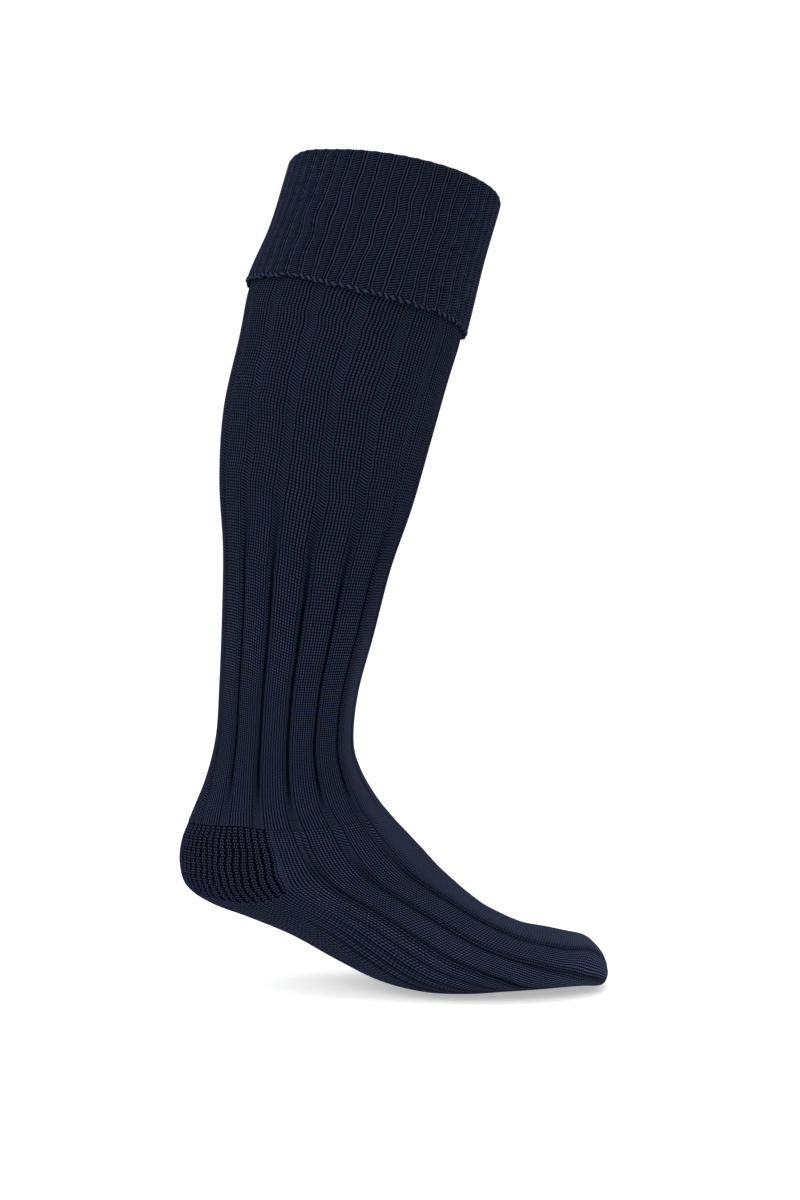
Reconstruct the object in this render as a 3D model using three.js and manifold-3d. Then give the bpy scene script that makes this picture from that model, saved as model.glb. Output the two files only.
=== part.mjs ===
// A knee-high knitted sock with a turned-over cuff, standing as if worn.
// Millimetres, +Z up. The origin is the centre of the opening at the top of the leg,
// the toe points along +X and the sock is symmetrical about the plane Y = 0.
import * as THREE from 'three';
import { LoftGeometry } from 'three/addons/geometries/LoftGeometry.js';
import { mergeVertices } from 'three/addons/utils/BufferGeometryUtils.js';
import Module from 'manifold-3d';

const wasm = await Module();
wasm.setup();

// The leg, from the middle of the opening to the middle of the ankle
const legLength = 320;
const legLean = 63; // how far the opening leans forward of the ankle
const calfDepth = 119; // front to back
const calfWidth = 115; // side to side

// The foot
const ankleHeight = 141.5; // middle of the ankle above the underside of the sole
const heelSet = 60.8; // how far the back of the heel stands behind the ankle's middle
const footLength = 247.7;
const heelDepth = 133; // back of the heel to the instep
const footWidth = 93; // at the ball of the foot

// The knitting of the leg and foot
const wall = 2.6;
const sideRibs = 7; // wide ribs on each side, between the one down the front and the back's channel
const channelDepth = 1.5; // sunk purl channel between two wide ribs
const channelShare = 0.2; // of the width of one wide rib
const channelFade = 1.5; // sections before the tip of the toe over which the channels run out
const heelRibPitch = 4.15; // fine ribs of the heel pocket
const heelRibDepth = 1.1;

// The turned-over cuff
const cuffDepth = 71; // fold to hem, measured down the middle of the leg
const cuffWall = 2.3;
const cuffGap = 0.4; // between the leg and the layer that is turned over it
const cuffSeat = 14; // how far the folded layer reaches down inside the opening
const cuffRibCount = 48;
const cuffRibDepth = 0.9;
const foldRise = 4.7; // height of the rounded fold
const rimBow = 1; // how much higher the rim is at the two sides than front and back

const clearance = 0.3; // between the edges of two pieces

// Sections of the leg from the opening down. Drop is a share of the leg's length, lean of its lean,
// depth and width of the calf's. Tilt is the section's slope in degrees, seen from the side.
const legSections = [
  { drop: 0.005, lean: 0, depth: 1.003, tilt: -9.4, width: 0.974 },
  { drop: 0.109, lean: 0.157, depth: 1.01, tilt: -8.6, width: 0.987 },
  { drop: 0.218, lean: 0.336, depth: 1.05, tilt: -13, width: 1 },
  { drop: 0.316, lean: 0.463, depth: 1.026, tilt: -12.6, width: 1 },
  { drop: 0.431, lean: 0.608, depth: 1.012, tilt: -9.1, width: 0.974 },
  { drop: 0.552, lean: 0.711, depth: 0.942, tilt: -7.7, width: 0.904 },
  { drop: 0.673, lean: 0.796, depth: 0.815, tilt: -6.9, width: 0.817 },
  { drop: 0.795, lean: 0.878, depth: 0.738, tilt: -5.3, width: 0.73 },
  { drop: 0.906, lean: 0.962, depth: 0.673, tilt: -2.9, width: 0.652 },
  { drop: 0.995, lean: 1, depth: 0.666, tilt: -2.1, width: 0.6 },
];

// Sections of the foot from below the ankle to the toe. Along is a share of the foot's length from
// the back of the heel, up of the ankle's height above the sole, depth of the heel's depth and
// width of the foot's. Under is how square the section is on the sole's side, 2 being an ellipse.
const footSections = [
  { along: 0.242, up: 0.871, depth: 0.668, tilt: 2.6, width: 0.731, under: 2.1 },
  { along: 0.244, up: 0.736, depth: 0.805, tilt: 4.7, width: 0.72, under: 2.2 },
  { along: 0.252, up: 0.64, depth: 0.924, tilt: 5.4, width: 0.72, under: 2.3 },
  { along: 0.267, up: 0.558, depth: 1.002, tilt: 7, width: 0.731, under: 2.3 },
  { along: 0.293, up: 0.48, depth: 1.04, tilt: 8.2, width: 0.742, under: 2.3 },
  { along: 0.338, up: 0.414, depth: 1.001, tilt: 8.5, width: 0.753, under: 2.4 },
  { along: 0.399, up: 0.359, depth: 0.898, tilt: 9.8, width: 0.774, under: 2.4 },
  { along: 0.467, up: 0.297, depth: 0.782, tilt: 12.6, width: 0.817, under: 2.5 },
  { along: 0.538, up: 0.223, depth: 0.684, tilt: 18.2, width: 0.882, under: 2.6 },
  { along: 0.609, up: 0.162, depth: 0.611, tilt: 24, width: 0.946, under: 2.7 },
  { along: 0.683, up: 0.123, depth: 0.542, tilt: 26.8, width: 1, under: 2.8 },
  { along: 0.759, up: 0.109, depth: 0.478, tilt: 29, width: 0.989, under: 2.8 },
  { along: 0.83, up: 0.104, depth: 0.393, tilt: 31.4, width: 0.925, under: 2.8 },
  { along: 0.896, up: 0.098, depth: 0.295, tilt: 38.4, width: 0.817, under: 2.6 },
  { along: 0.953, up: 0.076, depth: 0.176, tilt: 46, width: 0.624, under: 2.4 },
  { along: 0.988, up: 0.049, depth: 0.086, tilt: 66, width: 0.366, under: 2.2 },
  { along: 1, up: 0.043, depth: 0, tilt: 80, width: 0, under: 2.1 },
];
const squareness = 2.1; // of every section on its front side, and of the leg's all round

// Where three channels run on each side of the foot, as shares of the girth from the front.
// At counts sections from the top of the leg. The edge is where the instep meets the sole.
const footLines = [
  { at: 9, inner: 0.1, middle: 0.167, edge: 0.233 },
  { at: 11, inner: 0.093, middle: 0.157, edge: 0.225 },
  { at: 12, inner: 0.089, middle: 0.148, edge: 0.218 },
  { at: 15, inner: 0.086, middle: 0.15, edge: 0.216 },
  { at: 18, inner: 0.086, middle: 0.157, edge: 0.222 },
  { at: 20, inner: 0.093, middle: 0.171, edge: 0.236 },
  { at: 21, inner: 0.104, middle: 0.189, edge: 0.262 },
  { at: 22, inner: 0.111, middle: 0.212, edge: 0.3 },
  { at: 23.5, inner: 0.093, middle: 0.252, edge: 0.343 },
  { at: 26, inner: 0.093, middle: 0.271, edge: 0.364 },
];

// The course where the leg ends: over the heel pocket from the back of the ankle to the pocket's
// upper corner, then over the instep from its upper corner to the front
const pocketTop = [
  { round: 0.5, at: 11.25 },
  { round: 0.46, at: 11.26 },
  { round: 0.39, at: 11.3 },
  { round: 0.327, at: 11.39 },
  { round: 0.27, at: 11.65 },
];
const instepTop = [
  { round: 0.218, at: 11.82 },
  { round: 0.16, at: 11.8 },
  { round: 0.09, at: 11.75 },
  { round: 0, at: 11.7 },
];

// The front edge of the heel pocket from its upper corner down, then its lower edge to the back
const pocketFront = [
  pocketTop.at(-1),
  { round: 0.266, at: 12.6 },
  { round: 0.27, at: 13.6 },
  { round: 0.28, at: 14.45 },
];
const pocketUnder = [
  { round: 0.31, at: 14.85 },
  { round: 0.352, at: 15.03 },
  { round: 0.388, at: 14.94 },
  { round: 0.42, at: 14.6 },
  { round: 0.46, at: 14.4 },
  { round: 0.5, at: 14.35 },
];

const soleStop = 1.1; // sections before the tip of the toe where the sole stops
const degree = Math.PI / 180;

// All sections in one list of lengths, in order from the opening to the tip of the toe
const sections = [
  ...legSections.map((row) => ({
    x: -row.lean * legLean,
    z: -row.drop * legLength,
    halfDepth: (row.depth * calfDepth) / 2,
    tilt: row.tilt * degree,
    halfWidth: (row.width * calfWidth) / 2,
    under: squareness,
  })),
  ...footSections.map((row) => ({
    x: row.along * footLength - legLean - heelSet,
    z: (row.up - 1) * ankleHeight - legLength,
    halfDepth: (row.depth * heelDepth) / 2,
    tilt: row.tilt * degree,
    halfWidth: (row.width * footWidth) / 2,
    under: row.under,
  })),
];

// One value of a table between its rows, on a smooth curve through them
function smoothBetween(before, from, to, after, share) {
  const slope = -before + to;
  const bend = 2 * before - 5 * from + 4 * to - after;
  const twist = -before + 3 * from - 3 * to + after;
  return 0.5 * (2 * from + slope * share + bend * share ** 2 + twist * share ** 3);
}

// The section at any place down the sock, going straight on beyond both ends
function sectionAt(at) {
  const last = sections.length - 1;
  const row = Math.min(Math.max(Math.floor(at), 0), last - 1);
  const from = sections[row];
  const to = sections[row + 1];
  const blended = {};
  for (const key of Object.keys(from)) {
    const before = row > 0 ? sections[row - 1][key] : 2 * from[key] - to[key];
    const after = row + 2 <= last ? sections[row + 2][key] : 2 * to[key] - from[key];
    blended[key] = smoothBetween(before, from[key], to[key], after, at - row);
  }
  return blended;
}

// A value of a table whose rows say where they are, on straight lines between them
function tableValue(table, place, key, at) {
  const next = table.findIndex((row) => row[place] >= at);
  if (next === 0) return table[0][key];
  if (next < 0) return table[table.length - 1][key];
  const from = table[next - 1];
  const to = table[next];
  return THREE.MathUtils.mapLinear(at, from[place], to[place], from[key], to[key]);
}

// The outline of one section: a rounded superellipse from its front round the right side
const outlineSteps = 180;
const outlines = new Map();

function outlineAt(at) {
  if (outlines.has(at)) return outlines.get(at);
  const section = sectionAt(at);
  const points = [];
  const lengths = [0];
  for (let step = 0; step <= outlineSteps; step += 1) {
    const angle = (step / outlineSteps) * 2 * Math.PI;
    const power = 2 / (Math.cos(angle) >= 0 ? squareness : section.under);
    const forward = Math.sign(Math.cos(angle)) * Math.abs(Math.cos(angle)) ** power;
    const sideways = Math.sign(Math.sin(angle)) * Math.abs(Math.sin(angle)) ** power;
    points.push(new THREE.Vector3(
      section.x + forward * section.halfDepth * Math.cos(section.tilt),
      -sideways * Math.max(section.halfWidth, 0),
      section.z + forward * section.halfDepth * Math.sin(section.tilt),
    ));
    if (step > 0) lengths.push(lengths[step - 1] + points[step].distanceTo(points[step - 1]));
  }
  outlines.set(at, { points, lengths });
  return outlines.get(at);
}

// A point of the plain outer surface. Round is the share of the girth from the front.
function pointAt(at, round) {
  const { points, lengths } = outlineAt(at);
  const target = (round - Math.floor(round)) * lengths[outlineSteps];
  let step = lengths.findIndex((length) => length > target);
  if (step < 1) step = outlineSteps;
  const share = (target - lengths[step - 1]) / (lengths[step] - lengths[step - 1]);
  return points[step - 1].clone().lerp(points[step], share);
}

// A point that stands out from the plain surface by some millimetres, or lies under it
function skinPoint(at, round, out) {
  const reach = 0.02;
  const down = pointAt(at + reach, round).sub(pointAt(at - reach, round));
  const across = pointAt(at, round + reach / 4).sub(pointAt(at, round - reach / 4));
  const normal = new THREE.Vector3().crossVectors(across, down).normalize();
  return pointAt(at, round).addScaledVector(normal, out);
}

// How far down the sections a distance along the middle of the leg reaches
function atDistance(distance) {
  const stride = 0.05;
  let at = 0;
  let left = Math.abs(distance);
  const way = distance < 0 ? -1 : 1;
  for (;;) {
    const here = sectionAt(at);
    const next = sectionAt(at + way * stride);
    const length = Math.hypot(next.x - here.x, next.z - here.z);
    if (left <= length) return at + (way * stride * left) / length;
    left -= length;
    at += way * stride;
  }
}

// Where a channel runs, as a share of the girth. Channel 0 borders the rib down the front and the
// last one is down the back. Those up to the instep's edge follow the table, and the others share
// what is left evenly.
const edgeChannel = Math.floor((sideRibs - 1) / 2);

function channelRound(channel, at) {
  const edge = tableValue(footLines, 'at', 'edge', at);
  if (channel > edgeChannel) {
    return edge + ((0.5 - edge) * (channel - edgeChannel)) / (sideRibs - edgeChannel);
  }
  const lines = [
    { ribs: 0, round: 0 },
    { ribs: 1.5, round: tableValue(footLines, 'at', 'inner', at) },
    { ribs: 2.5, round: tableValue(footLines, 'at', 'middle', at) },
    { ribs: 3.5, round: edge },
  ];
  const ribs = ((channel + 0.5) / (edgeChannel + 0.5)) * lines.at(-1).ribs;
  return tableValue(lines, 'ribs', 'round', ribs);
}

// One ring of the wide-ribbed surface: each channel has two edges and a sunk middle
function ribbedRing(at) {
  const near = [{ round: 0, out: 0 }];
  const onLeg = at < instepTop[0].at;
  const sunk = channelDepth * Math.min(1, (sections.length - 1 - at) / channelFade);
  for (let channel = 0; channel <= sideRibs; channel += 1) {
    const round = channelRound(channel, at);
    const before = channel > 0 ? channelRound(channel - 1, at) : -round;
    const half = ((round - before) * channelShare) / 2;
    const depth = onLeg || channel <= edgeChannel ? sunk : 0;
    near.push({ round: round - half, out: 0 }, { round, out: -depth });
    if (channel === sideRibs) break;
    const after = channelRound(channel + 1, at);
    near.push({ round: round + half, out: 0 }, { round: (round + after) / 2, out: 0 });
  }
  const far = near.slice(1, -1).reverse().map(({ round, out }) => ({ round: 1 - round, out }));
  return [...near, ...far].map(({ round, out }) => skinPoint(at, round, out));
}

// One ring of even points at a constant depth under the surface
function evenRing(at, count, out) {
  return Array.from({ length: count }, (_, index) => skinPoint(at, index / count, out));
}

// One ring of the heel pocket: fine ribs between its two front edges, and a plain front
const heelMiddle = 13; // section through the middle of the pocket
const heelGirth = outlineAt(heelMiddle).lengths[outlineSteps];
const pocketShare = 1 - 2 * tableValue(pocketFront, 'at', 'round', heelMiddle);
const heelRibs = Math.round((heelGirth * pocketShare) / heelRibPitch);

function heelRing(at) {
  const start = tableValue(pocketFront, 'at', 'round', at);
  const points = [];
  for (let step = 0; step <= 2 * heelRibs; step += 1) {
    const round = THREE.MathUtils.lerp(start, 1 - start, step / (2 * heelRibs));
    points.push(skinPoint(at, round, step % 2 ? -heelRibDepth : 0));
  }
  const plainSteps = 10;
  for (let step = 1; step < plainSteps; step += 1) {
    const round = THREE.MathUtils.lerp(1 - start, 1 + start, step / plainSteps);
    points.push(skinPoint(at, round, 0));
  }
  return points;
}

// A closed mesh as a solid: shared corners merged, collapsed triangles dropped
function solidFrom(geometry) {
  const bare = new THREE.BufferGeometry();
  bare.setAttribute('position', geometry.getAttribute('position'));
  bare.setIndex(geometry.getIndex());
  const merged = mergeVertices(bare);
  const index = Array.from(merged.index.array);
  const kept = [];
  for (let i = 0; i < index.length; i += 3) {
    const [a, b, c] = index.slice(i, i + 3);
    if (a !== b && b !== c && c !== a) kept.push(a, b, c);
  }
  const vertProperties = new Float32Array(merged.attributes.position.array);
  const triVerts = new Uint32Array(kept);
  return new wasm.Manifold(new wasm.Mesh({ numProp: 3, vertProperties, triVerts }));
}

// A named mesh from a solid
function meshFrom(name, solid, material) {
  const { vertProperties, triVerts } = solid.getMesh();
  const geometry = new THREE.BufferGeometry();
  geometry.setAttribute('position', new THREE.BufferAttribute(vertProperties, 3));
  geometry.setIndex(new THREE.BufferAttribute(triVerts, 1));
  geometry.computeVertexNormals();
  const mesh = new THREE.Mesh(geometry, material);
  mesh.name = name;
  return mesh;
}

// A side-view outline pulled in by half the clearance, and carried right through the sock sideways
function sidePrism(outline) {
  const inset = outline.map((point, index) => {
    const before = outline.at(index - 1);
    const after = outline[(index + 1) % outline.length];
    const [one, two] = [[before, point], [point, after]].map(([from, to]) => {
      const edge = new THREE.Vector2().subVectors(to, from).normalize();
      return new THREE.Vector2(-edge.y, edge.x);
    });
    const scale = clearance / 2 / (1 + one.dot(two));
    return point.clone().addScaledVector(one.add(two), scale);
  });
  const reach = Math.max(calfWidth, footWidth);
  const geometry = new THREE.ExtrudeGeometry(new THREE.Shape(inset), {
    depth: 2 * reach,
    bevelEnabled: false,
  });
  geometry.rotateX(Math.PI / 2);
  geometry.translate(0, reach, 0);
  return solidFrom(geometry);
}

// Places on the surface as points of the side view
function sideView(rows) {
  return rows.map(({ round, at }) => {
    const point = pointAt(at, round);
    return new THREE.Vector2(point.x, point.z);
  });
}

// The side view's dividing lines: leg end, pocket edge, and the instep's edge down to the toe
const beyond = calfWidth / 2; // how far an outline runs past the sock
const pocketTopLine = sideView(pocketTop);
const instepTopLine = sideView(instepTop);
const legLine = [...pocketTopLine, ...instepTopLine];
const pocketLine = sideView([...pocketFront.slice(1), ...pocketUnder]);
const edgeRows = [];
const edgeStart = instepTop[0].at;
const soleEnd = sections.length - 1 - soleStop;
const edgeSteps = 18;
for (let step = 1; step <= edgeSteps; step += 1) {
  const at = THREE.MathUtils.lerp(edgeStart, soleEnd, step / edgeSteps);
  edgeRows.push({ round: channelRound(edgeChannel, at), at });
}
const edgeLine = sideView(edgeRows);
const lowest = -legLength - ankleHeight - beyond;
const foremost = footLength - legLean - heelSet + beyond;
const hindmost = -legLean - heelSet - beyond;

function point2(x, y) {
  return new THREE.Vector2(x, y);
}

function beyondSkin({ round, at }) {
  const point = skinPoint(at, round, beyond);
  return point2(point.x, point.z);
}

const ankleBehind = beyondSkin(pocketTop[0]);
const ankleBefore = beyondSkin(instepTop.at(-1));
const heelBehind = beyondSkin(pocketUnder.at(-1));

const legOutline = [
  ankleBehind,
  ...legLine,
  ankleBefore,
  point2(foremost, beyond),
  point2(hindmost, beyond),
];
const pocketOutline = [
  heelBehind,
  ...pocketLine.toReversed(),
  ...pocketTopLine.toReversed(),
  ankleBehind,
];
const instepOutline = [
  ...edgeLine,
  point2(edgeLine.at(-1).x, lowest),
  point2(foremost, lowest),
  ankleBefore,
  ...instepTopLine.toReversed(),
];
const soleOutline = [
  heelBehind,
  point2(hindmost, lowest),
  point2(edgeLine.at(-1).x, lowest),
  ...edgeLine.toReversed(),
  instepTopLine[0],
  pocketTopLine.at(-1),
  ...pocketLine,
];

// The whole knitted tube below the cuff, ribbed outside, and the foot and leg's space inside it
const tubeTop = atDistance(cuffSeat + clearance);
const tubeStops = [tubeTop, 1, 2, 3, 4, 5, 6.5, 8, 9, 10, 10.7, 11.4, 12];
const footStops = [13, 14, 15, 16.5, 18, 19, 20, 21, 22, 23, 24, 24.7, 25.3, 25.7, 25.9];
const insideColumns = 28;

function ribbedTube() {
  const rings = [...tubeStops, ...footStops].map(ribbedRing);
  return solidFrom(new LoftGeometry(rings, { capStart: true, capEnd: true }));
}

function insideSpace() {
  const rings = [tubeTop - 0.5, ...tubeStops.slice(1), ...footStops.slice(0, -2)]
    .map((at) => evenRing(at, insideColumns, -wall));
  return solidFrom(new LoftGeometry(rings, { capStart: true, capEnd: true }));
}

function ribbedHeel() {
  const rings = [10.8, 11.6, 12.3, 13, 13.8, 14.6, 15.5].map(heelRing);
  return solidFrom(new LoftGeometry(rings, { capStart: true, capEnd: true }));
}

// The cuff: its profile runs up the ribbed outer face, over the fold, down the inner layer,
// and back up between the layers to the hem. Down is measured from the rim, out from the leg.
function cuffProfile() {
  const outer = cuffGap + cuffWall;
  const middle = (outer - wall) / 2;
  const halfFold = (outer + wall) / 2;
  const profile = [];
  for (const share of [1, 0.5, 0.06]) profile.push({ down: cuffDepth * share, out: outer, rib: 1 });
  const foldSteps = 4;
  for (let step = 0; step <= foldSteps; step += 1) {
    const angle = (step / foldSteps) * Math.PI;
    const out = middle + halfFold * Math.cos(angle);
    profile.push({ down: -foldRise * Math.sin(angle), out, rib: step < 2 ? 0.5 : 0 });
  }
  profile.push({ down: cuffSeat, out: -wall, rib: 0 }, { down: cuffSeat, out: 0, rib: 0 });
  profile.push({ down: cuffWall / 3, out: 0, rib: 0 }, { down: cuffWall / 3, out: cuffGap, rib: 0 });
  for (const share of [0.5, 1]) profile.push({ down: cuffDepth * share, out: cuffGap, rib: 0 });
  return profile;
}

function turnoverCuff() {
  const profile = cuffProfile();
  const columns = 2 * cuffRibCount;
  const rings = [];
  for (let column = 0; column <= columns; column += 1) {
    const round = (column % columns) / columns;
    const groove = column % 2 ? cuffRibDepth : 0;
    const side = Math.sin(2 * Math.PI * round) ** 2;
    rings.push(profile.map(({ down, out, rib }) => {
      const bow = rimBow * side * Math.max(1 - Math.max(down, 0) / cuffSeat, 0);
      return skinPoint(atDistance(down - bow), round, out - rib * groove);
    }));
  }
  return solidFrom(new LoftGeometry(rings));
}

const navyRib = new THREE.MeshStandardMaterial({ color: 0x1c2030, roughness: 0.95, metalness: 0 });
const navyPlain = new THREE.MeshStandardMaterial({ color: 0x202436, roughness: 0.95, metalness: 0 });
const navyHeel = new THREE.MeshStandardMaterial({ color: 0x181b29, roughness: 0.95, metalness: 0 });

const inside = insideSpace();
const tube = ribbedTube().subtract(inside);
const heel = ribbedHeel().subtract(inside);

const sock = new THREE.Group();
sock.add(
  meshFrom('turnover_cuff', turnoverCuff(), navyRib),
  meshFrom('leg', tube.intersect(sidePrism(legOutline)), navyRib),
  meshFrom('heel_pocket', heel.intersect(sidePrism(pocketOutline)), navyHeel),
  meshFrom('instep', tube.intersect(sidePrism(instepOutline)), navyRib),
  meshFrom('sole', tube.intersect(sidePrism(soleOutline)), navyPlain),
);

export default sock;
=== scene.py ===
import bpy
import numpy as np
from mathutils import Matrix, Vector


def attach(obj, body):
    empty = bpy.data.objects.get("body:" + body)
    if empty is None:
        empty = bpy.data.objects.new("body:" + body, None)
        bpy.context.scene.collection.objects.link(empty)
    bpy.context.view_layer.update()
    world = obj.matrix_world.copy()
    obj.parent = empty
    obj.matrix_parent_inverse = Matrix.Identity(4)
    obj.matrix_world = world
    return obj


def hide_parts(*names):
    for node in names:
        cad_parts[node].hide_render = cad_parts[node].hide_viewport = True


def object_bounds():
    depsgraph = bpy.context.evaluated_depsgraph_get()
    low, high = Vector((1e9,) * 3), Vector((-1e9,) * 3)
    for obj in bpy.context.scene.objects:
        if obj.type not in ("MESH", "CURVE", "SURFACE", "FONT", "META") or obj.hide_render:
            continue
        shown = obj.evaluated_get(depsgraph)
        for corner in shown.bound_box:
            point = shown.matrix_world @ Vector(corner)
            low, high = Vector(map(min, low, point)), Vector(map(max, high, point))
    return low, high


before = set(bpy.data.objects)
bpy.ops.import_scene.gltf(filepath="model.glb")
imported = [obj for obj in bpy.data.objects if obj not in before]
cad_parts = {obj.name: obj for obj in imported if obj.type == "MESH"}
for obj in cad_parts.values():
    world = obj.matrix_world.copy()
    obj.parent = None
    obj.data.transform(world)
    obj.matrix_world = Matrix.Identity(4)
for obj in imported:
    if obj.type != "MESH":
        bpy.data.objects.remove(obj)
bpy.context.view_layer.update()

form = dict(
    legLength=0.320, legLean=0.063, calfDepth=0.119, calfWidth=0.115,
    ankleHeight=0.1415, heelSet=0.0608, footLength=0.2477, heelDepth=0.133, footWidth=0.093,
    squareness=2.1,       # 2 would be an ellipse
    ribs=15,              # wide ribs round the leg
    walesPerRib=12,       # columns of stitches, with the purl ones of a channel
    legCourses=262,       # rows of stitches from the fold to the ankle
    footCourses=130,      # and from the ankle to the tip of the toe
    wall=0.0026,
    inset=0.0002,         # how far under the solids' surface the relief of ribs and sole begins
)

# drop, lean, depth, tilt in degrees, width: shares of the leg's length and lean and the calf's size
legSections = [
    (0.005, 0.000, 1.003, -9.4, 0.974),
    (0.109, 0.157, 1.010, -8.6, 0.987),
    (0.218, 0.336, 1.050, -13.0, 1.000),
    (0.316, 0.463, 1.026, -12.6, 1.000),
    (0.431, 0.608, 1.012, -9.1, 0.974),
    (0.552, 0.711, 0.942, -7.7, 0.904),
    (0.673, 0.796, 0.815, -6.9, 0.817),
    (0.795, 0.878, 0.738, -5.3, 0.730),
    (0.906, 0.962, 0.673, -2.9, 0.652),
    (0.995, 1.000, 0.666, -2.1, 0.600),
]

# along, up, depth, tilt in degrees, width, squareness of the sole's side
footSections = [
    (0.242, 0.871, 0.668, 2.6, 0.731, 2.1),
    (0.244, 0.736, 0.805, 4.7, 0.720, 2.2),
    (0.252, 0.640, 0.924, 5.4, 0.720, 2.3),
    (0.267, 0.558, 1.002, 7.0, 0.731, 2.3),
    (0.293, 0.480, 1.040, 8.2, 0.742, 2.3),
    (0.338, 0.414, 1.001, 8.5, 0.753, 2.4),
    (0.399, 0.359, 0.898, 9.8, 0.774, 2.4),
    (0.467, 0.297, 0.782, 12.6, 0.817, 2.5),
    (0.538, 0.223, 0.684, 18.2, 0.882, 2.6),
    (0.609, 0.162, 0.611, 24.0, 0.946, 2.7),
    (0.683, 0.123, 0.542, 26.8, 1.000, 2.8),
    (0.759, 0.109, 0.478, 29.0, 0.989, 2.8),
    (0.830, 0.104, 0.393, 31.4, 0.925, 2.8),
    (0.896, 0.098, 0.295, 38.4, 0.817, 2.6),
    (0.953, 0.076, 0.176, 46.0, 0.624, 2.4),
    (0.988, 0.049, 0.086, 66.0, 0.366, 2.2),
    (1.000, 0.043, 0.000, 80.0, 0.000, 2.1),
]

# at, and the girth share of the three channels on each side; the last one is the instep's edge
channelLines = np.array([
    (9, 0.1, 0.167, 0.233), (11, 0.093, 0.157, 0.225), (12, 0.089, 0.148, 0.218),
    (15, 0.086, 0.15, 0.216), (18, 0.086, 0.157, 0.222), (20, 0.093, 0.171, 0.236),
    (21, 0.104, 0.189, 0.262), (22, 0.111, 0.212, 0.3), (23.5, 0.093, 0.252, 0.343),
    (26, 0.093, 0.271, 0.364),
])

# girth share and at of the course where the leg ends, from the front to the back
legEndLine = np.array([
    (0, 11.7), (0.09, 11.75), (0.16, 11.8), (0.218, 11.82), (0.27, 11.65),
    (0.327, 11.39), (0.39, 11.3), (0.46, 11.26), (0.5, 11.25),
])

# at and girth share of the heel pocket's front edge, then girth share and at of its lower edge
pocketFrontLine = np.array([(11.65, 0.27), (12.6, 0.266), (13.6, 0.27), (14.45, 0.28)])
pocketUnderLine = np.array([
    (0.28, 14.45), (0.31, 14.85), (0.352, 15.03), (0.388, 14.94), (0.42, 14.6), (0.46, 14.4),
    (0.5, 14.35),
])


def sectionTable():
    # lengths of every section: x, z, half depth, tilt, half width, squareness behind
    f = form
    leg = np.array(legSections)
    foot = np.array(footSections)
    upper = np.stack([
        -leg[:, 1] * f["legLean"], -leg[:, 0] * f["legLength"], leg[:, 2] * f["calfDepth"] / 2,
        np.radians(leg[:, 3]), leg[:, 4] * f["calfWidth"] / 2,
        np.full(len(leg), f["squareness"])], axis=1)
    lower = np.stack([
        foot[:, 0] * f["footLength"] - f["legLean"] - f["heelSet"],
        (foot[:, 1] - 1) * f["ankleHeight"] - f["legLength"], foot[:, 2] * f["heelDepth"] / 2,
        np.radians(foot[:, 3]), foot[:, 4] * f["footWidth"] / 2, foot[:, 5]], axis=1)
    rows = np.concatenate([upper, lower])
    # one more at each end, straight on, for the smooth curve
    return np.concatenate([[2 * rows[0] - rows[1]], rows, [2 * rows[-1] - rows[-2]]])


sectionRows = sectionTable()
lastSection = len(sectionRows) - 3


def sectionAt(at):
    # each length of the table on a smooth curve through four rows of it
    row = np.clip(np.floor(at).astype(int), 0, lastSection - 1)
    t = (at - row)[..., None]
    before, here, after, beyond = (sectionRows[row + k] for k in range(4))
    return 0.5 * (2 * here + (after - before) * t
                  + (2 * before - 5 * here + 4 * after - beyond) * t ** 2
                  + (3 * here - before - 3 * after + beyond) * t ** 3)


def outlinePoint(at, angle):
    # a superellipse: forward and sideways are cosine and sine raised to 2 / squareness
    x, z, halfDepth, tilt, halfWidth, under = np.moveaxis(sectionAt(at), -1, 0)
    c, s = np.cos(angle), np.sin(angle)
    power = 2 / np.where(c >= 0, form["squareness"], under)
    forward = np.sign(c) * np.abs(c) ** power * halfDepth
    sideways = np.sign(s) * np.abs(s) ** power * np.maximum(halfWidth, 0)
    return np.stack(np.broadcast_arrays(
        x + forward * np.cos(tilt), -sideways, z + forward * np.sin(tilt)), axis=-1)


# the angle of every girth share, on a fine grid of sections, so that shares are equal lengths
tableStep = 0.125
tableAts = np.arange(-1, lastSection, tableStep)
tableShares = 721


def angleTable():
    angles = np.linspace(0, 2 * np.pi, tableShares)
    ring = outlinePoint(tableAts[:, None], angles[None, :])
    run = np.cumsum(np.linalg.norm(np.diff(ring, axis=1), axis=2), axis=1)
    share = np.concatenate([np.zeros((len(tableAts), 1)), run / run[:, -1:]], axis=1)
    wanted = np.linspace(0, 1, tableShares)
    return np.array([np.interp(wanted, row, angles) for row in share])


shareAngles = angleTable()


def angleAt(at, share):
    # the table between its four nearest entries
    turns = np.floor(share)
    column = (share - turns) * (tableShares - 1)
    row = np.clip((at - tableAts[0]) / tableStep, 0, len(tableAts) - 1.001)
    r, c = row.astype(int), np.minimum(column.astype(int), tableShares - 2)
    u, v = row - r, column - c
    low = shareAngles[r, c] * (1 - v) + shareAngles[r, c + 1] * v
    high = shareAngles[r + 1, c] * (1 - v) + shareAngles[r + 1, c + 1] * v
    return low * (1 - u) + high * u + 2 * np.pi * turns


def plainPoint(at, share):
    return outlinePoint(at, angleAt(at, share))


def skin(at, share, out):
    # the plain point moved along the surface's normal, which is round crossed with down
    reach = 0.02
    low = np.minimum(at + reach, lastSection - 0.001)
    down = plainPoint(low, share) - plainPoint(at - reach, share)
    across = plainPoint(at, share + reach / 4) - plainPoint(at, share - reach / 4)
    normal = np.cross(across, down)
    normal /= np.maximum(np.linalg.norm(normal, axis=-1, keepdims=True), 1e-12)
    return plainPoint(at, share) + normal * np.asarray(out)[..., None]


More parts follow.
